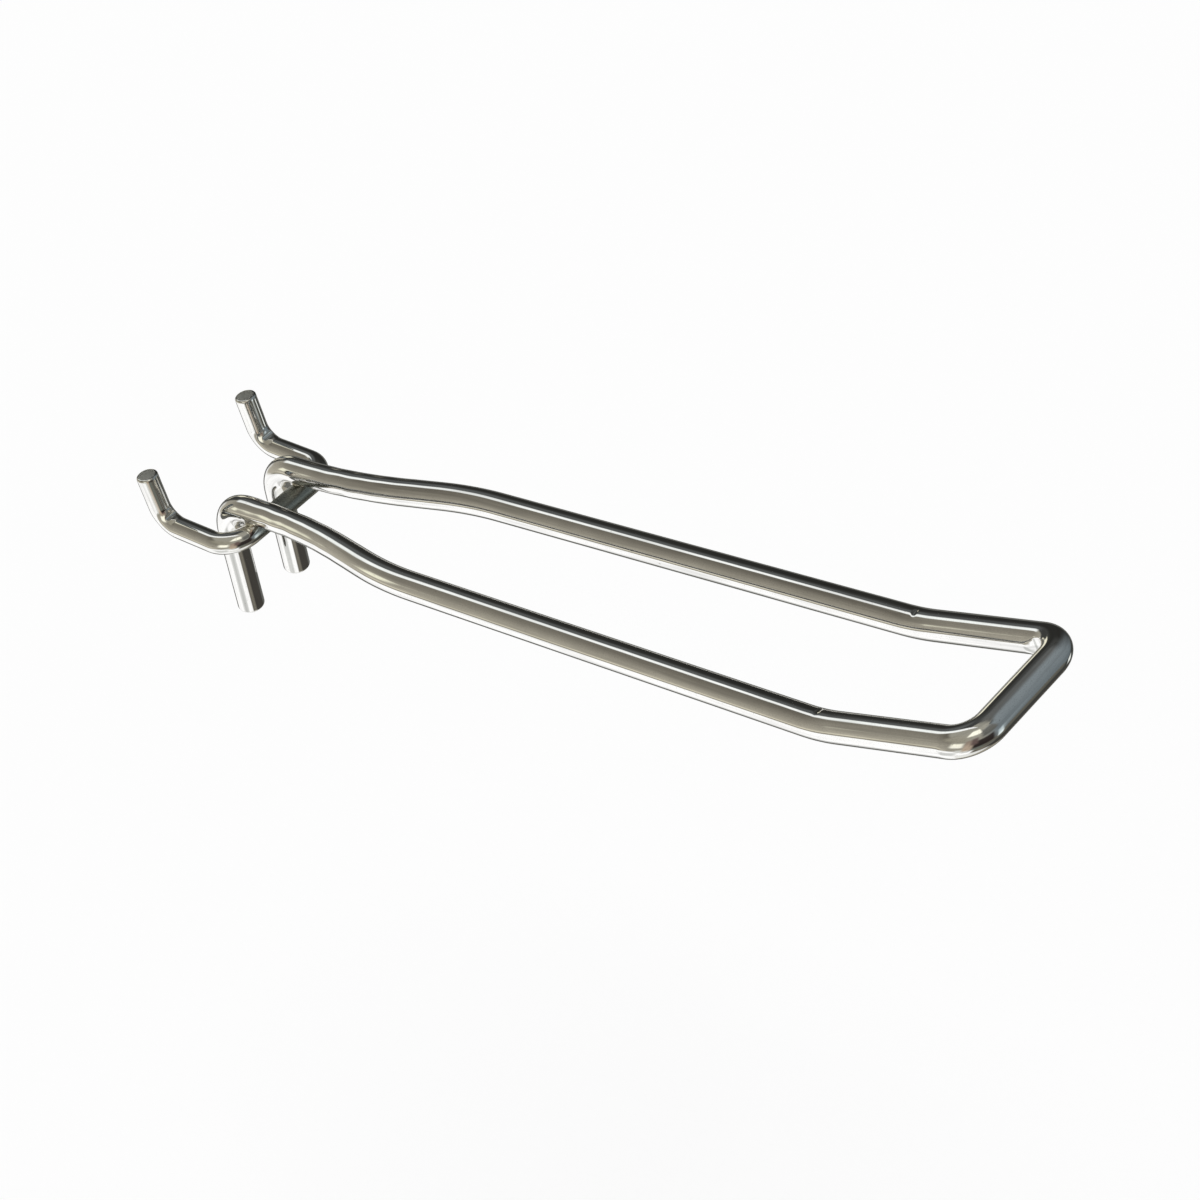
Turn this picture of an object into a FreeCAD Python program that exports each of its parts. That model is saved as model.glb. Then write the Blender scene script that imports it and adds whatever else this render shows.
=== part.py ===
import FreeCAD, Part
import math
import os
from FreeCAD import Vector

# Double-prong loop hook for a perforated board, made of two bright-plated round steel wires.
# The thicker wire is one long loop: two legs that bear on the face of the board, two arms that
# splay apart and rise away from it, and a kicked-up tip closed by a crossbar.
# The thinner wire is a staple: a bar welded under both arms, a shank through each of two holes
# of the board, and a prong that turns up behind it.
# The origin is on the front face of the board, midway between the two holes, at their height.
# X points out of the board, Z up, and the hook is symmetric about the plane Y = 0.

# Wire diameters, in millimetres like every length below.
LOOP_WIRE = 5.0
PEG_WIRE = 4.0

# Staple: hole spacing of the board, how far its bar stands in front of the face, how far behind
# the face the prongs turn up, and their length. Angles are in degrees.
HOLE_PITCH = 25.4
BAR_STANDOFF = 10.1
PRONG_SETBACK = 7.2
PRONG_LENGTH = 10.9
SHANK_TILT = 7.2
PRONG_LEAN = 10.0
BAR_BEND = 5.0
PRONG_BEND = 4.2

# Loop: how far the legs reach below the holes, the tilt of the arms, and, along each arm from
# the leg, where it starts to splay, where it is straightened again and where the tip kicks up.
LEG_REACH = 21.9
ARM_TILT = 12.2
SPLAY_START = 21.5
SPLAY_END = 47.0
KICK_PLACE = 142.8
TIP_LENGTH = 29.0
KICK_ANGLE = 11.0

# Spacing of the two sides of the loop, from centre to centre, at the legs, at the end of the
# splay, at the kick and at the crossbar of the tip.
LEG_PITCH = 12.3
SPLAY_PITCH = 22.6
KICK_PITCH = 25.2
TIP_PITCH = 24.3

# Bend radii of the loop, on the centreline of the wire.
TOP_BEND = 8.0
SPLAY_BEND = 120.0
STRAIGHTEN_BEND = 72.0
KICK_BEND = 32.0
TIP_BEND = 4.8

# Bevel of the cut ends, the groove pressed by the nose of the bending tool inside each kick, how
# far the two wires are sunk into each other at the welds, and the width of a weld's nugget.
END_BEVEL = 0.45
NOSE_RADIUS = 0.9
NOSE_DEPTH = 0.25
WELD_SINK = 0.4
WELD_WIDTH = 3.0

LOOP_RADIUS = LOOP_WIRE / 2
PEG_RADIUS = PEG_WIRE / 2


def slope(degrees):
    """Direction in the side view at an angle above the way out of the board."""
    angle = math.radians(degrees)
    return Vector(math.cos(angle), 0, math.sin(angle))


def aside(point, pitch):
    """The point moved to one side of the hook, half the given spacing from the middle."""
    return Vector(point.x, pitch / 2, point.z)


def both_sides(points):
    """The corners on one side of a wire, followed by those on its other side."""
    return points + [Vector(point.x, -point.y, point.z) for point in reversed(points)]


def bend_at(corners, radii, index):
    """Tangent setback, middle point, inward direction and axis direction of one bend."""
    corner = corners[index]
    radius = radii[index - 1]
    back = (corners[index - 1] - corner).normalize()
    ahead = (corners[index + 1] - corner).normalize()
    half_turn = (math.pi - back.getAngle(ahead)) / 2
    inward = (back + ahead).normalize()
    middle = corner + inward * (radius / math.cos(half_turn) - radius)
    return radius * math.tan(half_turn), middle, inward, back.cross(ahead).normalize()


def centreline(corners, radii):
    """Centreline of a bent wire: straight runs between the corners, joined by tangent arcs."""
    edges = []
    start = corners[0]
    for index in range(1, len(corners) - 1):
        setback, middle, inward, axis = bend_at(corners, radii, index)
        corner = corners[index]
        first = corner + (corners[index - 1] - corner).normalize() * setback
        last = corner + (corners[index + 1] - corner).normalize() * setback
        edges.append(Part.LineSegment(start, first).toShape())
        edges.append(Part.Arc(first, middle, last).toShape())
        start = last
    edges.append(Part.LineSegment(start, corners[-1]).toShape())
    return Part.Wire(edges)


def round_wire(corners, radii, diameter):
    """Round wire swept along its bent centreline, with the rims of both cut ends bevelled."""
    outline = Part.makeCircle(diameter / 2, corners[0], corners[1] - corners[0])
    wire = centreline(corners, radii).makePipeShell([Part.Wire(outline)], True, True)
    cuts = [face for face in wire.Faces if isinstance(face.Surface, Part.Plane)]
    rims = [edge for face in cuts for edge in face.Edges]
    return wire.makeChamfer(END_BEVEL, rims)


def nose_groove(corners, radii, diameter, index):
    """Rod laid across the inside of one bend, where the nose of the bending tool pressed in."""
    setback, middle, inward, axis = bend_at(corners, radii, index)
    rod_centre = middle + inward * (diameter / 2 + NOSE_RADIUS - NOSE_DEPTH)
    return Part.makeCylinder(NOSE_RADIUS, 2 * diameter, rod_centre - axis * diameter, axis)


def grooved(wire, corners, radii, diameter, place):
    """Wire with a nose groove inside the bend at one corner and inside its mirror image."""
    for index in (place, len(corners) - 1 - place):
        wire = wire.cut(nose_groove(corners, radii, diameter, index))
    return wire


def welded(peg, loop, seat, seat_pitch, rise):
    """Staple with the nugget of weld that fills the angle under each arm, shaped to the loop."""
    for pitch in (seat_pitch, -seat_pitch):
        nugget = Part.makeCylinder(WELD_WIDTH / 2, rise.Length, aside(seat, pitch), rise)
        peg = peg.fuse(nugget)
    return peg.cut(loop)


# Staple: the shanks tilt up towards the bar, and the prongs lean away from the board.
shank = slope(SHANK_TILT)
bar_middle = shank * (BAR_STANDOFF / shank.x)
prong_foot = shank * (-PRONG_SETBACK / shank.x)
prong_tip = prong_foot + slope(90 + PRONG_LEAN) * PRONG_LENGTH
peg_corners = both_sides([aside(point, HOLE_PITCH) for point in (prong_tip, prong_foot, bar_middle)])
peg_radii = [PRONG_BEND, BAR_BEND, BAR_BEND, PRONG_BEND]

# Loop: the arms lie on the bar, and the legs touch the face of the board.
arm = slope(ARM_TILT)
weld_rise = slope(ARM_TILT + 90) * (LOOP_RADIUS + PEG_RADIUS - WELD_SINK)
over_bar = bar_middle + weld_rise
leg_top = over_bar + arm * ((LOOP_RADIUS - over_bar.x) / arm.x)
leg_end = Vector(LOOP_RADIUS, 0, -LEG_REACH)
kick = leg_top + arm * KICK_PLACE
loop_corners = both_sides([
    aside(leg_end, LEG_PITCH),
    aside(leg_top, LEG_PITCH),
    aside(leg_top + arm * SPLAY_START, LEG_PITCH),
    aside(leg_top + arm * SPLAY_END, SPLAY_PITCH),
    aside(kick, KICK_PITCH),
    aside(kick + slope(ARM_TILT + KICK_ANGLE) * TIP_LENGTH, TIP_PITCH),
])
side_radii = [TOP_BEND, SPLAY_BEND, STRAIGHTEN_BEND, KICK_BEND, TIP_BEND]
loop_radii = side_radii + side_radii[::-1]

# Both wires: the loop grooved inside its kicks, and the staple welded under the arms.
loop_wire = round_wire(loop_corners, loop_radii, LOOP_WIRE)
loop_wire = grooved(loop_wire, loop_corners, loop_radii, LOOP_WIRE, 4)
peg_wire = round_wire(peg_corners, peg_radii, PEG_WIRE)
peg_wire = welded(peg_wire, loop_wire, bar_middle, LEG_PITCH, weld_rise)

os.makedirs("parts", exist_ok=True)
loop_wire.exportStep("parts/loop_wire.step")
peg_wire.exportStep("parts/peg_wire.step")
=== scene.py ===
import bpy
import math
import numpy as np
from mathutils import Matrix


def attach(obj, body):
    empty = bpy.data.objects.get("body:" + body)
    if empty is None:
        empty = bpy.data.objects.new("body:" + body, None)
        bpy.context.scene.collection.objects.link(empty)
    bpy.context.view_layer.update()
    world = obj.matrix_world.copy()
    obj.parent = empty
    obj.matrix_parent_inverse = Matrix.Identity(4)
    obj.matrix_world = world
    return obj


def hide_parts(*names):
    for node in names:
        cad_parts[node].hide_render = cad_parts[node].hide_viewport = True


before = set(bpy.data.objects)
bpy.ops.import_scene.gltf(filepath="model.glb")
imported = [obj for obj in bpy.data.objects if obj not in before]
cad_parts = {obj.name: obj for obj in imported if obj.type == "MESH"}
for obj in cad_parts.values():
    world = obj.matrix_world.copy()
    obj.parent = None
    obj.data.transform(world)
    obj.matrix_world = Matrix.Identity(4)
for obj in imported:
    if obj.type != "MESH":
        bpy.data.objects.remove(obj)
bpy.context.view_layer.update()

# The loop is one length of 5 mm steel wire, cut to length, bent over formers and then bright plated.
# Its two legs bear on the board, its arms splay and rise away from it, and the tip kicks up again
# and is closed by a crossbar. Sizes are in metres and repeat those of the solid.
LOOP_RADIUS = 0.0025
LEG_REACH = 0.0219
ARM_TILT = math.radians(12.2)
KICK_ANGLE = math.radians(11.0)
# The corners lie at these places along an arm, which the tip follows. From the end of a leg to the
# tip, the pitches are the distances between the two sides, and the bends are the corners' radii.
ARM_PLACES = (0.0215, 0.0470, 0.1428)
TIP_LENGTH = 0.0290
LOOP_PITCHES = (0.0123, 0.0123, 0.0123, 0.0226, 0.0252, 0.0243)
LOOP_BENDS = (0.0080, 0.1200, 0.0720, 0.0320, 0.0048)
# The staple's bar lies under the arms, sunk into them by the depth of the welds.
PEG_RADIUS = 0.0020
BAR_STANDOFF = 0.0101
SHANK_TILT = math.radians(7.2)
WELD_SINK = 0.0004
# The cut ends, and how finely the surface is divided.
END_BEVEL = 0.00045
LOOP_CROWN = 0.00005
RUN_STEP = 0.0007
LOOP_STEPS = (0.0003, 0.0007, 0.0006, 0.0001, 0.0002)
LOOP_POINTS_ROUND = 96
FACE_RINGS = 8
RIM_RINGS = 9


def slope(angle):
    """Direction in the side view at an angle above the way out of the board."""
    return np.array((math.cos(angle), 0.0, math.sin(angle)))


def both_sides(points, pitches):
    """The corners on one side of a wire, each half its pitch from the middle, then those opposite."""
    side = np.array(points, float)
    side[:, 1] = np.array(pitches) / 2
    return np.vstack((side, side[::-1] * (1, -1, 1)))


def bent_line(corners, radii, spacings):
    """Stations along the centreline of a bent wire. Straight runs lead from bend to bend, and in a
    bend of radius r the station, the direction and the direction across turn by equal angles about
    the axis of the bend, so that nothing twists. Returns places, directions, directions across and
    distances from the first end. Stations lie RUN_STEP apart on the straight runs, and spacings
    gives their distance on each bend."""
    way = np.diff(corners, axis=0)
    way /= np.linalg.norm(way, axis=1)[:, None]
    across = np.cross(way[0], way[1])
    across /= np.linalg.norm(across)
    start, places, directions, acrosses = corners[0], [], [], []

    def run_on(end, direction):
        count = max(3, int(np.linalg.norm(end - start) / RUN_STEP))
        steps = np.linspace(0, 1, count, endpoint=False)[1:, None]
        places.append(start + (end - start) * steps)
        directions.append(np.tile(direction, (len(steps), 1)))
        acrosses.append(np.tile(across, (len(steps), 1)))

    for corner, before, after, radius, spacing in zip(corners[1:], way, way[1:], radii, spacings):
        axis = np.cross(before, after)
        axis /= np.linalg.norm(axis)
        turn = math.acos(before @ after)
        first = corner - before * radius * math.tan(turn / 2)
        centre = first + np.cross(axis, before) * radius
        angle = np.linspace(0, turn, max(5, int(radius * turn / spacing)))[:, None]

        def turned(vector):
            return (vector * np.cos(angle) + np.cross(axis, vector) * np.sin(angle)
                    + axis * (axis @ vector) * (1 - np.cos(angle)))

        run_on(first, before)
        places.append(centre + turned(first - centre))
        directions.append(turned(before))
        acrosses.append(turned(across))
        start, across = places[-1][-1], acrosses[-1][-1]
    run_on(corners[-1], way[-1])
    places, directions, acrosses = map(np.vstack, (places, directions, acrosses))
    steps = np.linalg.norm(np.diff(places, axis=0), axis=1)
    along = np.linalg.norm(places[0] - corners[0]) + np.concatenate(((0,), np.cumsum(steps)))
    return places, directions, acrosses, along


def cut_end(radius, bevel, crown):
    """Profile of a cut end as depths from the end and radii: rings on a face that is crowned by a
    little, from 0.12 to 0.96 of its radius, then a quarter circle of the bevel's size. Depth is
    crown (r / face radius) squared on the face and crown + (bevel - crown) (1 - cos t) on the rim."""
    face = np.linspace(0.12, 0.96, FACE_RINGS)
    turn = np.linspace(0, math.pi / 2, RIM_RINGS)
    depth = np.concatenate((crown * face ** 2, crown + (bevel - crown) * (1 - np.cos(turn))))
    return depth, np.concatenate(((radius - bevel) * face, radius - bevel * (1 - np.sin(turn))))


def wire_surface(corners, radii, spacings, radius, bevel, crown, count, shift):
    """Grid of points on a bent round wire: at each station a circle of count points lies across the
    centreline, and each end closes with the rings of its cut. shift(along, angle) gives how far a
    point stands off the true cylinder. Also returns, for every point, its place on the same wire
    when it is straight, and 1 where it lies on a cut face."""
    places, directions, acrosses, along = bent_line(corners, radii, spacings)
    length = along[-1] + np.linalg.norm(corners[-1] - places[-1])
    clear = bevel * 1.3
    kept = (along > clear) & (along < length - clear)
    places, directions, acrosses, along = (a[kept] for a in (places, directions, acrosses, along))
    depth, rim = cut_end(radius, bevel, crown)
    head = corners[0] + np.outer(depth, directions[0])
    tail = corners[-1] - np.outer(depth[::-1], directions[-1])
    rings = len(depth)
    places = np.vstack((head, places, tail))
    directions, acrosses = (np.vstack((a[:1].repeat(rings, 0), a, a[-1:].repeat(rings, 0)))
                            for a in (directions, acrosses))
    along = np.concatenate((depth, along, length - depth[::-1]))
    sizes = np.concatenate((rim, np.full(len(along) - 2 * rings, radius), rim[::-1]))
    angle = np.linspace(0, 2 * math.pi, count, endpoint=False)
    sideways = np.cross(directions, acrosses)
    out = acrosses[:, None] * np.cos(angle)[:, None] + sideways[:, None] * np.sin(angle)[:, None]
    full = np.clip((sizes - radius + bevel) / bevel, 0, 1)[:, None]
    stand = sizes[:, None] + full * shift(along[:, None], angle[None, :])
    points = places[:, None] + out * stand[..., None]
    straight = (along[:, None], stand * np.cos(angle), stand * np.sin(angle))
    straight = np.stack(np.broadcast_arrays(*straight), -1)
    cut = np.zeros(points.shape[:2])
    cut[:FACE_RINGS + 1] = cut[-FACE_RINGS - 1:] = 1
    return points, straight, cut


def pressed(points, centre, axis, radius, reach, soft):
    """Points pushed away by a round rod that was pressed in: each point nearer the rod's axis than
    its radius moves straight away from the axis, by t = radius - distance. The rims are rounded by
    taking (t + root of t squared + soft squared) / 2 for t. The rod ends at its reach along the
    axis, over a quarter of it, and nothing moves that is further off than radius + 2 reach."""
    away = points - centre
    place = away @ axis
    away = away - axis * place[..., None]
    distance = np.linalg.norm(away, axis=-1)
    short = radius - distance
    push = (short + np.sqrt(short ** 2 + soft ** 2)) / 2
    push = push * np.clip((reach - np.abs(place)) / (0.25 * reach) + 0.5, 0, 1)
    push = np.where(np.linalg.norm(points - centre, axis=-1) < radius + 2 * reach, push, 0)
    return points + away * (push / np.maximum(distance, 1e-9))[..., None]


def stain(points, centre, size, strength):
    """How much each point is worked round a centre: strength exp(-(distance / size) to the fourth)."""
    return strength * np.exp(-(np.linalg.norm(points - centre, axis=-1) / size) ** 4)


def closed_mesh(name, points, straight, cut, worked, painted_shade):
    """Mesh of a grid of rings, closed at both ends by a fan to the middle of the first and of the
    last ring, with the straightened place, the cut faces, the worked zones and the painted shade
    as attributes."""
    rings, count = points.shape[:2]
    poles = np.stack((points[0].mean(0), points[-1].mean(0)))
    vertices = np.vstack((points.reshape(-1, 3), poles))
    ring = np.arange(rings - 1)[:, None] * count
    side = np.arange(count)[None, :]
    other = (side + 1) % count
    quads = np.stack((ring + side, ring + other, ring + count + other, ring + count + side), -1)
    first, last = rings * count, rings * count + 1
    side, other, end = side[0], other[0], (rings - 1) * count
    head = np.stack((np.full(count, first), other, side), -1)
    tail = np.stack((np.full(count, last), end + side, end + other), -1)
    mesh = bpy.data.meshes.new(name)
    mesh.from_pydata(vertices.tolist(), [],
                     quads.reshape(-1, 4).tolist() + head.tolist() + tail.tolist())
    mesh.polygons.foreach_set("use_smooth", np.ones(len(mesh.polygons), bool))
    straight = np.vstack((straight.reshape(-1, 3), straight[0].mean(0), straight[-1].mean(0)))
    mesh.attributes.new("straight", "FLOAT_VECTOR", "POINT").data.foreach_set("vector", straight.ravel())
    for title, values in (("cut", cut), ("worked", worked), ("painted_shade", painted_shade)):
        values = np.concatenate((values.ravel(), values[0, :1], values[-1, :1]))
        mesh.attributes.new(title, "FLOAT", "POINT").data.foreach_set("value", values.ravel())
    piece = bpy.data.objects.new(name, mesh)
    bpy.context.scene.collection.objects.link(piece)
    return piece


# The plating's patterns, with their fineness along the wire and across it, per metre, and detail. A
# mark shows where its pattern rises from the first of its levels to the second, and a shade is how
# much of the colour a mark leaves.
PATTERNS = {
    "lines": ((60, 5200, 5200), 3.0),
    "streaks": ((45, 1500, 1500), 4.0),
    "grain": ((5000, 9000, 9000), 2.0),
    "waves": ((150, 420, 420), 1.0),
    "specks": ((2600, 3400, 3400), 1.0),
    "film": ((260, 700, 700), 4.0),
    "torn": ((9000, 3800, 3800), 3.0),
}
MARK_LEVELS = {"film": (0.35, 0.75), "streaks": (0.50, 0.72), "grain": (0.50, 0.75),
               "specks": (0.74, 0.80)}
MARK_SHADES = {"film": 0.90, "streaks": 0.74, "grain": 0.78}
FILM_DULLNESS = 1.8
SPECK_COLOUR, SPECK_ROUGHNESS = (0.42, 0.41, 0.38, 1), 0.30
WORKED_COLOUR, WORKED_ROUGHNESS, WORKED_SHARE = (0.62, 0.56, 0.43, 1), 0.20, 0.55
# Painted shade: the dark colour laid on the staple's bar under and between the arms, with its duller gloss
# and its share of the colour.
PAINTED_SHADE_COLOUR, PAINTED_SHADE_ROUGHNESS, PAINTED_SHADE_SHARE = (0.23, 0.245, 0.22, 1), 0.40, 0.9
CUT_COLOUR, CUT_ROUGHNESS = (0.66, 0.66, 0.63, 1), 0.50
LINE_HEIGHT = 0.0000012
WAVE_HEIGHT = 0.000012
TORN_HEIGHT = 0.00004


def plating(name, colour, roughness):
    """Bright plating over drawn wire. Fine lines run along the wire, faint waves and specks lie over
    them, the cut faces are matte and grey, worked zones are a little stained and duller, and where
    the painted shade lies, the wire is duller and its colour is darkened as painted shade."""
    material = bpy.data.materials.new(name)
    material.use_nodes = True
    nodes, links = material.node_tree.nodes, material.node_tree.links
    shader = nodes["Principled BSDF"]
    shader.inputs["Metallic"].default_value = 1.0

    def attribute(title, output):
        node = nodes.new("ShaderNodeAttribute")
        node.attribute_name = title
        return node.outputs[output]

    def pattern(title):
        fineness, detail = PATTERNS[title]
        stretched = nodes.new("ShaderNodeVectorMath")
        stretched.operation = "MULTIPLY"
        stretched.inputs[1].default_value = fineness
        links.new(straight, stretched.inputs[0])
        node = nodes.new("ShaderNodeTexNoise")
        node.inputs["Scale"].default_value = 1.0
        node.inputs["Detail"].default_value = detail
        links.new(stretched.outputs[0], node.inputs["Vector"])
        return node.outputs["Fac"]

    def ranged(value, low, high, to_low, to_high):
        node = nodes.new("ShaderNodeMapRange")
        limits = {"From Min": low, "From Max": high, "To Min": to_low, "To Max": to_high}
        for title, number in limits.items():
            node.inputs[title].default_value = number
        links.new(value, node.inputs["Value"])
        return node.outputs["Result"]

    def mixed(factor, low, high):
        node = nodes.new("ShaderNodeMix")
        node.data_type = "RGBA"
        links.new(factor, node.inputs["Factor"])
        for socket, value in ((node.inputs[6], low), (node.inputs[7], high)):
            if isinstance(value, tuple):
                socket.default_value = value
            else:
                links.new(value, socket)
        return node.outputs[2]

    def greater(one, two):
        node = nodes.new("ShaderNodeMath")
        node.operation = "MAXIMUM"
        links.new(one, node.inputs[0])
        links.new(two, node.inputs[1])
        return node.outputs[0]

    def bumped(height, distance):
        node = nodes.new("ShaderNodeBump")
        node.inputs["Strength"].default_value = 1.0
        node.inputs["Distance"].default_value = distance
        links.new(height, node.inputs["Height"])
        return node

    straight = attribute("straight", "Vector")
    cut, worked, painted_shade = (attribute(title, "Fac") for title in ("cut", "worked", "painted_shade"))
    marks = {title: ranged(pattern(title), *levels, 0.0, 1.0) for title, levels in MARK_LEVELS.items()}
    shade = colour
    for title, left in MARK_SHADES.items():
        shade = mixed(marks[title], shade, tuple(c * left for c in colour[:3]) + (1,))
    shade = mixed(marks["specks"], shade, SPECK_COLOUR)
    shade = mixed(ranged(worked, 0.0, 1.0, 0.0, WORKED_SHARE), shade, WORKED_COLOUR)
    # Painted shade: the colour is darkened where the bar lies under and between the arms.
    shade = mixed(ranged(painted_shade, 0.0, 1.0, 0.0, PAINTED_SHADE_SHARE), shade, PAINTED_SHADE_COLOUR)
    links.new(mixed(cut, shade, CUT_COLOUR), shader.inputs["Base Color"])
    gloss = ranged(marks["film"], 0.0, 1.0, roughness, roughness * FILM_DULLNESS)
    for zone, dullness in ((marks["specks"], SPECK_ROUGHNESS), (worked, WORKED_ROUGHNESS),
                           (painted_shade, PAINTED_SHADE_ROUGHNESS), (cut, CUT_ROUGHNESS)):
        gloss = greater(gloss, ranged(zone, 0.0, 1.0, 0.0, dullness))
    links.new(gloss, shader.inputs["Roughness"])
    drawn = bumped(pattern("lines"), LINE_HEIGHT)
    rolled = bumped(pattern("waves"), WAVE_HEIGHT)
    torn = bumped(pattern("torn"), TORN_HEIGHT)
    links.new(drawn.outputs["Normal"], rolled.inputs["Normal"])
    links.new(rolled.outputs["Normal"], torn.inputs["Normal"])
    links.new(cut, torn.inputs["Strength"])
    links.new(torn.outputs["Normal"], shader.inputs["Normal"])
    return material


WAVE_COUNT = 6
LONG_WAVES = (0.009, 0.040)
SHORT_WAVES = (0.004, 0.009)


def unevenness(seed, height, bends, bend_height, reach):
    """Slight waves of a hand-straightened wire: a sum of a few long sine waves along and round it,
    whose heights add up to the given height. Near the places in bends the forming left as many
    short waves too, which fade as exp(-(distance / reach) squared). The waves only go inwards."""
    chance = np.random.default_rng(seed)
    lengths, turns = chance.uniform(*LONG_WAVES, WAVE_COUNT), chance.integers(0, 3, WAVE_COUNT)
    starts = chance.uniform(0, 2 * math.pi, (4, WAVE_COUNT))
    shorts = chance.uniform(*SHORT_WAVES, WAVE_COUNT)

    def shift(along, angle):
        near = sum(np.exp(-((along - place) / reach) ** 2) for place in bends)
        total = 0.0
        for k in range(WAVE_COUNT):
            total = total + height * (np.sin(2 * math.pi * along / lengths[k] + starts[0, k])
                                      * np.cos(turns[k] * angle + starts[1, k]))
            total = total + bend_height * near * (np.sin(2 * math.pi * along / shorts[k] + starts[2, k])
                                                  * np.cos(turns[k] * angle + starts[3, k]))
        return total / WAVE_COUNT - height - bend_height * near
    return shift


LOOP_COLOUR, LOOP_ROUGHNESS = (0.87, 0.865, 0.85, 1), 0.045
LOOP_SEED = 7
LOOP_WAVES = 0.000006
BENT_PLACES = (0.031, 0.046, 0.365, 0.380)
BENT_WAVES = 0.000055
BENT_REACH = 0.013
arm = slope(ARM_TILT)
bar_middle = slope(SHANK_TILT) * (BAR_STANDOFF / math.cos(SHANK_TILT))
weld_rise = slope(ARM_TILT + math.pi / 2) * (LOOP_RADIUS + PEG_RADIUS - WELD_SINK)
over_bar = bar_middle + weld_rise
leg_top = over_bar + arm * ((LOOP_RADIUS - over_bar[0]) / arm[0])
kick = leg_top + arm * ARM_PLACES[2]
loop_corners = both_sides(
    (np.array((LOOP_RADIUS, 0, -LEG_REACH)), leg_top, leg_top + arm * ARM_PLACES[0],
     leg_top + arm * ARM_PLACES[1], kick, kick + slope(ARM_TILT + KICK_ANGLE) * TIP_LENGTH),
    LOOP_PITCHES)
loop_radii = LOOP_BENDS + LOOP_BENDS[::-1]
points, straight, cut = wire_surface(
    loop_corners, loop_radii, LOOP_STEPS + LOOP_STEPS[::-1], LOOP_RADIUS, END_BEVEL, LOOP_CROWN,
    LOOP_POINTS_ROUND, unevenness(LOOP_SEED, LOOP_WAVES, BENT_PLACES, BENT_WAVES, BENT_REACH))


def bend_middle(corners, radii, place):
    """Middle of the bend at a corner, the direction inwards there and the axis of the bend."""
    back = corners[place - 1] - corners[place]
    ahead = corners[place + 1] - corners[place]
    back, ahead = back / np.linalg.norm(back), ahead / np.linalg.norm(ahead)
    half = (math.pi - math.acos(back @ ahead)) / 2
    inward = (back + ahead) / np.linalg.norm(back + ahead)
    axis = np.cross(back, ahead)
    return (corners[place] + inward * radii[place - 1] * (1 / math.cos(half) - 1), inward,
            axis / np.linalg.norm(axis))


# The nose of the bending tool has left a groove and a stain inside each kick, and the former has
# flattened the wire inside the tip's corners. The heat of the welds has stained the arms.
KICK_CORNERS, TIP_CORNERS = (4, 7), (5, 6)
NOSE_RADIUS = 0.0009
NOSE_DEPTH = 0.00012
NOSE_REACH = 0.0030
NOSE_SOFTNESS = 0.00010
NOSE_STAIN = (0.0011, 0.5)
FORMER_RADIUS = 0.0024
FORMER_DEPTH = 0.00080
FORMER_REACH = 0.0032
FORMER_SOFTNESS = 0.00002
WELD_STAIN = (0.0026, 0.8)
worked = np.zeros(points.shape[:2])
for place in KICK_CORNERS:
    middle, inward, axis = bend_middle(loop_corners, loop_radii, place)
    nose = middle + inward * (LOOP_RADIUS + NOSE_RADIUS - NOSE_DEPTH)
    points = pressed(points, nose, axis, NOSE_RADIUS, NOSE_REACH, NOSE_SOFTNESS)
    worked += stain(points, nose, *NOSE_STAIN)
for place in TIP_CORNERS:
    middle, inward, axis = bend_middle(loop_corners, loop_radii, place)
    former = middle + inward * (LOOP_RADIUS + FORMER_RADIUS - FORMER_DEPTH)
    points = pressed(points, former, axis, FORMER_RADIUS, FORMER_REACH, FORMER_SOFTNESS)
for side in (1, -1):
    seat = over_bar * (1, 0, 1) + (0, side * LOOP_PITCHES[0] / 2, 0) - weld_rise / 2
    worked += stain(points, seat, *WELD_STAIN)
loop = closed_mesh("plated_loop", points, straight, cut, np.clip(worked, 0, 1), np.zeros(cut.shape))
loop.data.materials.append(plating("loop_plating", LOOP_COLOUR, LOOP_ROUGHNESS))
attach(loop, "root")
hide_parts("loop_wire")

# The staple is one length of 4 mm steel wire. Its bar runs under both arms, a shank goes through
# each of two holes of the board, and a prong turns up behind it. The prongs are sheared off square,
# and the bending tool's nose has left a groove inside each prong's bend.
HOLE_PITCH = 0.0254
PRONG_SETBACK = 0.0072
PRONG_LENGTH = 0.0109
PRONG_LEAN = math.radians(10.0)
PEG_BENDS = (0.0042, 0.0050, 0.0050, 0.0042)
PEG_STEPS = (0.00008, 0.0002, 0.0002, 0.00008)
PEG_CROWN = 0.00004
PEG_COLOUR, PEG_ROUGHNESS = (0.86, 0.855, 0.835, 1), 0.055
PEG_POINTS_ROUND = 112
PEG_SEED = 11
PEG_WAVES = 0.000006
PEG_BENT_PLACES = (0.010, 0.065)
PEG_BENT_WAVES = 0.000020
PEG_BENT_REACH = 0.006
shank = slope(SHANK_TILT)
prong_foot = shank * (-PRONG_SETBACK / shank[0])
prong_tip = prong_foot + slope(math.pi / 2 + PRONG_LEAN) * PRONG_LENGTH
peg_corners = both_sides((prong_tip, prong_foot, bar_middle), (HOLE_PITCH,) * 3)
points, straight, cut = wire_surface(
    peg_corners, PEG_BENDS, PEG_STEPS, PEG_RADIUS, END_BEVEL, PEG_CROWN, PEG_POINTS_ROUND,
    unevenness(PEG_SEED, PEG_WAVES, PEG_BENT_PLACES, PEG_BENT_WAVES, PEG_BENT_REACH))
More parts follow.
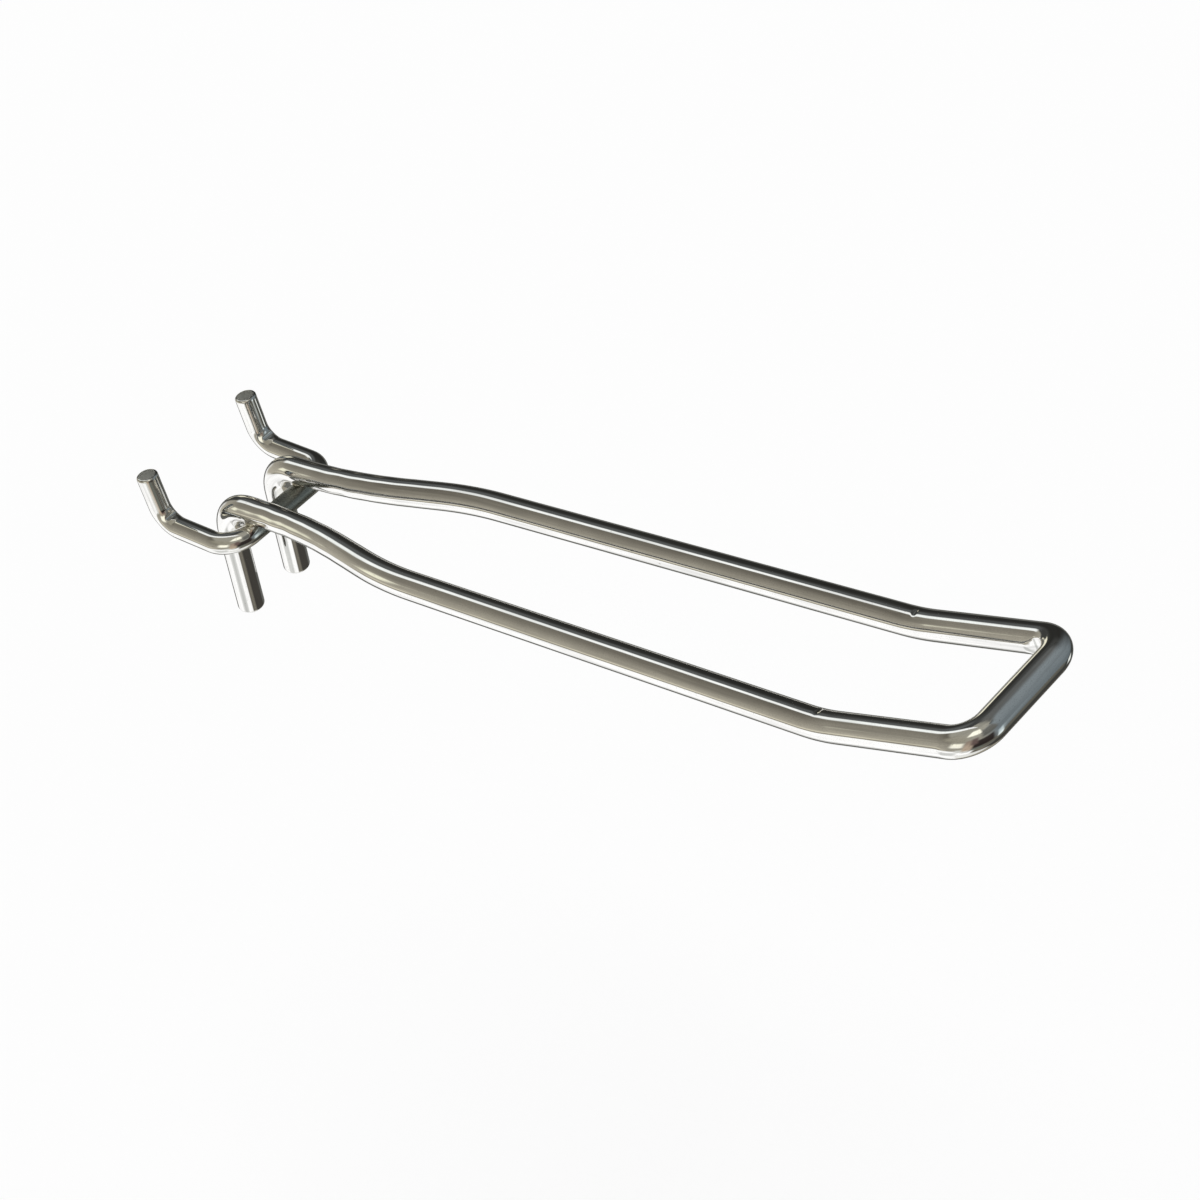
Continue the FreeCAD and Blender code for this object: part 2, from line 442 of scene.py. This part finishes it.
# Each prong's groove has a low ridge pushed up beside it. Each arm is sunk into the bar, and
# between the arms the bar is made duller and painted dark, as painted shade from the arms over it.
PRONG_CORNERS = (1, 4)
EDGE_RADIUS = 0.00055
EDGE_DEPTH = 0.00045
EDGE_REACH = 0.0026
EDGE_SOFTNESS = 0.000012
EDGE_STAIN = (0.0012, 0.25)
RIDGE_HEIGHT, RIDGE_PLACE, RIDGE_WIDTH = 0.00012, 0.0010, 0.00035
SEAT_REACH = 0.0060
SEAT_SOFTNESS = 0.00003
PAINTED_SHADE_HALF_WIDTH = 0.0074
PAINTED_SHADE_EDGE = 0.0005
worked = np.zeros(points.shape[:2])
for place in PRONG_CORNERS:
    middle, inward, axis = bend_middle(peg_corners, PEG_BENDS, place)
    nose = middle + inward * (PEG_RADIUS + EDGE_RADIUS - EDGE_DEPTH)
    off = np.linalg.norm(points - (middle + inward * PEG_RADIUS), axis=-1)
    ridge = RIDGE_HEIGHT * np.exp(-((off - RIDGE_PLACE) / RIDGE_WIDTH) ** 2)
    points = pressed(points + inward * ridge[..., None], nose, axis, EDGE_RADIUS, EDGE_REACH, EDGE_SOFTNESS)
    worked += stain(points, nose, *EDGE_STAIN)
for side in (1, -1):
    seat = bar_middle + (0, side * LOOP_PITCHES[0] / 2, 0)
    points = pressed(points, seat + weld_rise, arm, LOOP_RADIUS, SEAT_REACH, SEAT_SOFTNESS)
    worked += stain(points, seat + weld_rise / 2, *WELD_STAIN)
# Painted shade on the middle of the bar, between the arms, fading out over them.
painted_shade = 1 / (1 + np.exp((np.abs(points[..., 1]) - PAINTED_SHADE_HALF_WIDTH) / PAINTED_SHADE_EDGE)) * (points[..., 0] > 0)
peg = closed_mesh("plated_staple", points, straight, cut, np.clip(worked, 0, 1), painted_shade)
peg.data.materials.append(plating("staple_plating", PEG_COLOUR, PEG_ROUGHNESS))
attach(peg, "root")
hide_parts("peg_wire")

# Each weld joins an arm to the bar where they cross. The current melted the steel a little there,
# and it was squeezed out as an uneven bead round the contact, which was plated with the rest.
BEAD_PLACE = 0.00150
BEAD_WANDER = 0.00022
BEAD_RADIUS = 0.00028
BEAD_UNEVENNESS = 0.45
BEAD_RISE = 0.6
BEAD_WAVES = 6
BEAD_SEEDS = (5, 9)
BEAD_STATIONS = 160
BEAD_POINTS_ROUND = 28


def weld_bead(seed, centre, rise, along, across):
    """Bead of weld round one contact, as a ring in the gap between two crossed round wires. At turn
    a round the contact the ring's middle lies at its place, BEAD_PLACE and a few waves, and half
    way between the top of the bar, root of (bar radius squared - x squared), and the underside of
    the arm; the bead is a circle there, a little higher than the gap, with a few waves more."""
    chance = np.random.default_rng(seed)
    starts = chance.uniform(0, 2 * math.pi, (2, BEAD_WAVES))
    heights = chance.uniform(0.4, 1.0, (2, BEAD_WAVES))
    a, b = np.meshgrid(np.linspace(0, 2 * math.pi, BEAD_STATIONS, endpoint=False),
                       np.linspace(0, 2 * math.pi, BEAD_POINTS_ROUND, endpoint=False), indexing="ij")
    waves = [sum(heights[n, k] * np.sin((k + 2) * a + starts[n, k] + 0.6 * n * np.cos(b))
                 for k in range(BEAD_WAVES)) / BEAD_WAVES for n in (0, 1)]
    place = BEAD_PLACE + BEAD_WANDER * waves[0]
    x, y = place * np.cos(a), place * np.sin(a)
    bar_top = np.sqrt(PEG_RADIUS ** 2 - x ** 2)
    arm_low = LOOP_RADIUS + PEG_RADIUS - WELD_SINK - np.sqrt(LOOP_RADIUS ** 2 - y ** 2)
    thick = BEAD_RADIUS * (1 + BEAD_UNEVENNESS * waves[1])
    out = place + thick * np.cos(b)
    up = (bar_top + arm_low) / 2 + ((arm_low - bar_top) / 2 + BEAD_RISE * thick) * np.sin(b)
    return (centre + (out * np.cos(a))[..., None] * along + (out * np.sin(a))[..., None] * across
            + up[..., None] * rise)


def ring_mesh(name, grids):
    """One mesh of several closed rings, each a grid that runs on from its last row to its first."""
    vertices, faces, start = [], [], 0
    for grid in grids:
        rows, columns = grid.shape[:2]
        row, column = np.meshgrid(np.arange(rows), np.arange(columns), indexing="ij")
        next_row, next_column = (row + 1) % rows, (column + 1) % columns
        quads = np.stack((row * columns + column, next_row * columns + column,
                          next_row * columns + next_column, row * columns + next_column), -1)
        vertices.append(grid.reshape(-1, 3))
        faces.append(quads.reshape(-1, 4) + start)
        start += rows * columns
    mesh = bpy.data.meshes.new(name)
    mesh.from_pydata(np.vstack(vertices).tolist(), [], np.vstack(faces).tolist())
    mesh.polygons.foreach_set("use_smooth", np.ones(len(mesh.polygons), bool))
    ring = bpy.data.objects.new(name, mesh)
    bpy.context.scene.collection.objects.link(ring)
    return ring


WELD_COLOUR = (0.80, 0.79, 0.74, 1)
WELD_STAIN_COLOUR = (0.60, 0.57, 0.47, 1)
LUMP_FINENESS = 1600.0
LUMP_HEIGHT = 0.00006
WELD_ROUGHNESS = (0.10, 0.34)


def weld_plating(name):
    """Plated weld: the same bright plating, but over a lumpy skin, duller and stained by the heat."""
    material = bpy.data.materials.new(name)
    material.use_nodes = True
    nodes, links = material.node_tree.nodes, material.node_tree.links
    shader = nodes["Principled BSDF"]
    shader.inputs["Metallic"].default_value = 1.0
    place = nodes.new("ShaderNodeTexCoord")
    lumps = nodes.new("ShaderNodeTexNoise")
    lumps.inputs["Scale"].default_value = LUMP_FINENESS
    lumps.inputs["Detail"].default_value = 3.0
    links.new(place.outputs["Object"], lumps.inputs["Vector"])
    stained = nodes.new("ShaderNodeMix")
    stained.data_type = "RGBA"
    stained.inputs[6].default_value = WELD_COLOUR
    stained.inputs[7].default_value = WELD_STAIN_COLOUR
    links.new(lumps.outputs["Fac"], stained.inputs["Factor"])
    links.new(stained.outputs[2], shader.inputs["Base Color"])
    gloss = nodes.new("ShaderNodeMapRange")
    gloss.inputs["To Min"].default_value, gloss.inputs["To Max"].default_value = WELD_ROUGHNESS
    links.new(lumps.outputs["Fac"], gloss.inputs["Value"])
    links.new(gloss.outputs["Result"], shader.inputs["Roughness"])
    skin = nodes.new("ShaderNodeBump")
    skin.inputs["Distance"].default_value = LUMP_HEIGHT
    links.new(lumps.outputs["Fac"], skin.inputs["Height"])
    links.new(skin.outputs["Normal"], shader.inputs["Normal"])
    return material


rise = weld_rise / np.linalg.norm(weld_rise)
welds = ring_mesh("weld_beads", [
    weld_bead(seed, bar_middle + (0, side * LOOP_PITCHES[0] / 2, 0), rise, arm, np.array((0.0, 1.0, 0.0)))
    for seed, side in zip(BEAD_SEEDS, (-1, 1))])
welds.data.materials.append(weld_plating("weld_plating"))
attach(welds, "root")

# The camera stands in front of the hook, on its near side, and looks down on it.
AZIMUTH = 0.7950650837
HEIGHT = 0.7698265200
ROLL = -0.1533380677
DISTANCE = 0.4932009464
LOOK_AT = np.array((0.0871198884, 0.0, 0.0198453098))
SENSOR_WIDTH = 36.0
FOCAL_LENGTH = 91.45492867
back = np.array((math.sin(AZIMUTH) * math.cos(HEIGHT), -math.cos(AZIMUTH) * math.cos(HEIGHT),
                 math.sin(HEIGHT)))
right = np.cross(-back, (0, 0, 1))
right /= np.linalg.norm(right)
up = np.cross(back, right)
turned_right = math.cos(ROLL) * right + math.sin(ROLL) * up
turned_up = -math.sin(ROLL) * right + math.cos(ROLL) * up
placing = np.eye(4)
placing[:3] = np.column_stack((turned_right, turned_up, back, LOOK_AT + back * DISTANCE))
lens = bpy.data.cameras.new("camera")
lens.sensor_width = SENSOR_WIDTH
lens.sensor_fit = "HORIZONTAL"
lens.lens = FOCAL_LENGTH
camera = bpy.data.objects.new("camera", lens)
camera.matrix_world = Matrix(placing.tolist())
bpy.context.scene.collection.objects.link(camera)
bpy.context.scene.camera = camera

# A plain white floor well below the hook, a white world round it, and one soft lamp overhead.
FLOOR_LEVEL = -0.30
FLOOR_REACH = 4.0
FLOOR_COLOUR, FLOOR_ROUGHNESS = (0.96, 0.96, 0.96, 1), 0.9
ROOM_LIGHT = 0.8
SEEN_WHITE = 1.0
LAMP_STRENGTH = 0.74
LAMP_SPREAD = math.radians(25.0)
LAMP_TURN = (0.2, 0.2, 0)
floor_mesh = bpy.data.meshes.new("floor")
floor_mesh.from_pydata([(x * FLOOR_REACH, y * FLOOR_REACH, FLOOR_LEVEL)
                        for x, y in ((-1, -1), (1, -1), (1, 1), (-1, 1))], [], [(0, 1, 2, 3)])
floor = bpy.data.objects.new("floor", floor_mesh)
bpy.context.scene.collection.objects.link(floor)
floor_paint = bpy.data.materials.new("floor_white")
floor_paint.use_nodes = True
floor_shader = floor_paint.node_tree.nodes["Principled BSDF"]
floor_shader.inputs["Base Color"].default_value = FLOOR_COLOUR
floor_shader.inputs["Roughness"].default_value = FLOOR_ROUGHNESS
floor_shader.inputs["Specular IOR Level"].default_value = 0.0
floor_mesh.materials.append(floor_paint)
floor.visible_glossy = False
world = bpy.data.worlds.new("white_room")
world.use_nodes = True
nodes, links = world.node_tree.nodes, world.node_tree.links
nodes["Background"].inputs["Color"].default_value = (1, 1, 1, 1)
rays = nodes.new("ShaderNodeLightPath")
seen = rays.outputs["Is Camera Ray"]
for kind in ("Is Glossy Ray", "Is Transmission Ray"):
    either = nodes.new("ShaderNodeMath")
    either.operation = "MAXIMUM"
    links.new(seen, either.inputs[0])
    links.new(rays.outputs[kind], either.inputs[1])
    seen = either.outputs[0]
strength = nodes.new("ShaderNodeMapRange")
strength.inputs["To Min"].default_value = ROOM_LIGHT
strength.inputs["To Max"].default_value = SEEN_WHITE
links.new(seen, strength.inputs["Value"])
links.new(strength.outputs["Result"], nodes["Background"].inputs["Strength"])
bpy.context.scene.world = world
lamp_data = bpy.data.lights.new("soft_lamp", "SUN")
lamp_data.angle = LAMP_SPREAD
lamp_data.energy = LAMP_STRENGTH
lamp = bpy.data.objects.new("soft_lamp", lamp_data)
lamp.rotation_euler = LAMP_TURN
lamp.visible_glossy = False
bpy.context.scene.collection.objects.link(lamp)

# The room that the plating mirrors is a dome far round the hook, which only reflections see. It is
# painted in soft-edged fields, placed and coloured after the reflections in the photograph.
# Each has azimuths from the way out of the board and their softness, heights and theirs, in degrees,
# and its colours at the bottom and the top as the plating shows them, in steps of 255.
DOME_RADIUS = 1.5
DOME_CENTRE = (0.08, 0.0, 0.015)
DOME_COLUMNS = 361
DOME_ROWS = 181
MIRRORED = 0.80
FIELDS = {
    "room": ((0, 360), 1, (-95, 95), 1, (150, 145, 132), (150, 148, 138)),
    "floor": ((140, 325), 12, (-95, -24), 6, (255, 255, 255), (252, 252, 252)),
    "back_floor": ((150, 212), 10, (-95, -8), 8, (205, 205, 205), (214, 213, 208)),
    "back_white": ((168, 216), 10, (-60, -20), 6, (250, 250, 250), (250, 250, 250)),
    "floor_streak": ((244, 288), 14, (-60, -36), 8, (208, 209, 207), (205, 206, 204)),
    "side_streak": ((300, 318), 10, (-40, -26), 8, (186, 187, 184), (186, 187, 184)),
    "taupe": ((180, 262), 12, (-24, 46), 8, (176, 171, 157), (90, 86, 78)),
    "cream_line": ((214, 250), 12, (-19, -13), 4, (206, 200, 182), (200, 194, 176)),
    "dark_line": ((206, 250), 12, (-25.5, -20.5), 3, (132, 128, 114), (132, 128, 114)),
    "high_taupe": ((225, 300), 26, (28, 62), 14, (140, 136, 122), (150, 146, 134)),
    "dark": ((24, 171), 8, (-52, 66), 8, (56, 56, 54), (62, 63, 62)),
    "dark_core": ((92, 144), 12, (-34, 28), 14, (38, 38, 36), (42, 42, 40)),
    "dark_soft": ((148, 166), 8, (18, 44), 8, (82, 84, 84), (88, 90, 90)),
    "light_edge": ((140, 161), 5, (-36, -9), 6, (240, 236, 216), (232, 228, 206)),
    "bar_edge": ((142, 150), 2, (-18, 4), 5, (240, 236, 216), (232, 228, 206)),
    "high_grey": ((52, 138), 24, (44, 74), 14, (88, 90, 90), (98, 98, 95)),
    "blue": ((-5, 84), 50, (-40, 60), 18, (94, 103, 108), (122, 130, 134)),
    "dark_floor": ((326, 440), 14, (-58, -36), 10, (60, 58, 54), (64, 62, 58)),
    "dark_edge": ((330, 358), 18, (-56, -24), 8, (116, 112, 102), (108, 104, 94)),
    "prong_dark": ((312, 347), 12, (-33, -16), 6, (102, 106, 98), (98, 100, 94)),
    "prong_pale": ((284, 312), 12, (-34, -17), 6, (212, 213, 208), (208, 209, 203)),
    "near_floor": ((285, 372), 16, (-95, -53), 8, (226, 226, 222), (236, 236, 233)),
    "front_grey": ((338, 384), 14, (26, 60), 12, (92, 92, 88), (104, 104, 100)),
    "prong_edge": ((12, 92), 10, (-41, -20), 6, (54, 56, 54), (58, 60, 58)),
    "prong_light": ((54, 68), 6, (-37, -25), 6, (228, 232, 228), (228, 232, 228)),
    "column": ((166, 182), 6, (21, 90), 8, (240, 244, 242), (252, 252, 252)),
    "right_grey": ((344, 400), 10, (-34, -14), 8, (92, 90, 82), (92, 90, 82)),
    "left_dark": ((316, 366), 10, (-20, 18), 10, (44, 38, 36), (50, 45, 43)),
    "tan": ((298, 318), 10, (-28, 30), 14, (190, 172, 152), (140, 126, 114)),
    "brown": ((312, 328), 10, (0, 34), 14, (96, 80, 76), (104, 90, 86)),
    "window": ((266, 294), 12, (-2, 21), 10, (255, 252, 238), (255, 252, 232)),
    "high_window": ((288, 338), 12, (52, 76), 8, (255, 253, 236), (255, 253, 236)),
    "blue_window": ((15, 30), 7, (-22, 5), 9, (236, 246, 246), (170, 184, 190)),
    "top_cream": ((208, 218), 6, (-5, 10), 6, (240, 238, 214), (232, 230, 210)),
}
# The last field is round and lies straight behind the hook as the camera sees it, at a fixed place
# in the room. It darkens the wires' outlines in that view. Its size and softness are in degrees.
BEHIND = np.array((-0.5125, 0.5028, -0.6960))
BEHIND_SIZE, BEHIND_SOFTNESS, BEHIND_COLOUR = 36.0, 7.0, (98, 98, 94)


def shine(colour):
    """Strength of a dome colour in linear light, from steps of 255, through the plating's own shade."""
    colour = np.array(colour, float) / 255
    return np.where(colour <= 0.04045, colour / 12.92, ((colour + 0.055) / 1.055) ** 2.4) / MIRRORED


def ease(t):
    """Soft step from 0 to 1: t squared times (3 - 2 t), held at its ends."""
    t = np.clip(t, 0, 1)
    return t * t * (3 - 2 * t)


def painted(direction):
    """Shine of the dome in each direction. Every field covers those before it by the product of
    three soft steps, across its azimuths and above and below it, and its colour runs evenly from
    bottom to top. The last field is a round one behind the hook, which the wires' edges mirror."""
    turn = np.degrees(np.arctan2(direction[..., 1], direction[..., 0]))
    height = np.degrees(np.arcsin(np.clip(direction[..., 2], -1, 1)))
    total = np.zeros(direction.shape)
    for (first, last), side_soft, (low, high), soft, bottom, top in FIELDS.values():
        off = np.abs((turn - (first + last) / 2 + 180) % 360 - 180)
        cover = np.where(last - first < 360, ease(((last - first) / 2 - off) / side_soft + 0.5), 1.0)
        cover = (cover * ease((height - low) / soft + 0.5) * ease((high - height) / soft + 0.5))[..., None]
        rise = np.clip((height - low) / (high - low), 0, 1)[..., None]
        total = total * (1 - cover) + (shine(bottom) * (1 - rise) + shine(top) * rise) * cover
    away = np.degrees(np.arccos(np.clip(direction @ BEHIND, -1, 1)))
    cover = ease((BEHIND_SIZE - away) / BEHIND_SOFTNESS + 0.5)[..., None]
    return total * (1 - cover) + shine(BEHIND_COLOUR) * cover


turn, height = np.meshgrid(np.radians(np.linspace(0, 360, DOME_COLUMNS)),
                           np.radians(np.linspace(-90, 90, DOME_ROWS)), indexing="ij")
direction = np.stack((np.cos(turn) * np.cos(height), np.sin(turn) * np.cos(height), np.sin(height)), -1)
index = np.arange(DOME_COLUMNS - 1)[:, None] * DOME_ROWS + np.arange(DOME_ROWS - 1)[None, :]
dome_mesh = bpy.data.meshes.new("dome")
dome_mesh.from_pydata((DOME_CENTRE + DOME_RADIUS * direction).reshape(-1, 3).tolist(), [],
                      np.stack((index, index + 1, index + DOME_ROWS + 1, index + DOME_ROWS), -1)
                      .reshape(-1, 4).tolist())
tint = np.concatenate((painted(direction), np.ones(turn.shape + (1,))), -1)
dome_mesh.attributes.new("paint", "FLOAT_COLOR", "POINT").data.foreach_set("color", tint.ravel())
dome_paint = bpy.data.materials.new("dome_paint")
dome_paint.use_nodes = True
dome_paint.cycles.emission_sampling = "NONE"
nodes, links = dome_paint.node_tree.nodes, dome_paint.node_tree.links
nodes.clear()
paint, glow, output = (nodes.new(kind) for kind in (
    "ShaderNodeAttribute", "ShaderNodeEmission", "ShaderNodeOutputMaterial"))
paint.attribute_name = "paint"
links.new(paint.outputs["Color"], glow.inputs["Color"])
links.new(glow.outputs[0], output.inputs["Surface"])
dome_mesh.materials.append(dome_paint)
dome = bpy.data.objects.new("dome", dome_mesh)
bpy.context.scene.collection.objects.link(dome)
dome.visible_camera = dome.visible_diffuse = dome.visible_shadow = dome.visible_transmission = False

scene = bpy.context.scene
scene.view_settings.view_transform = "Standard"
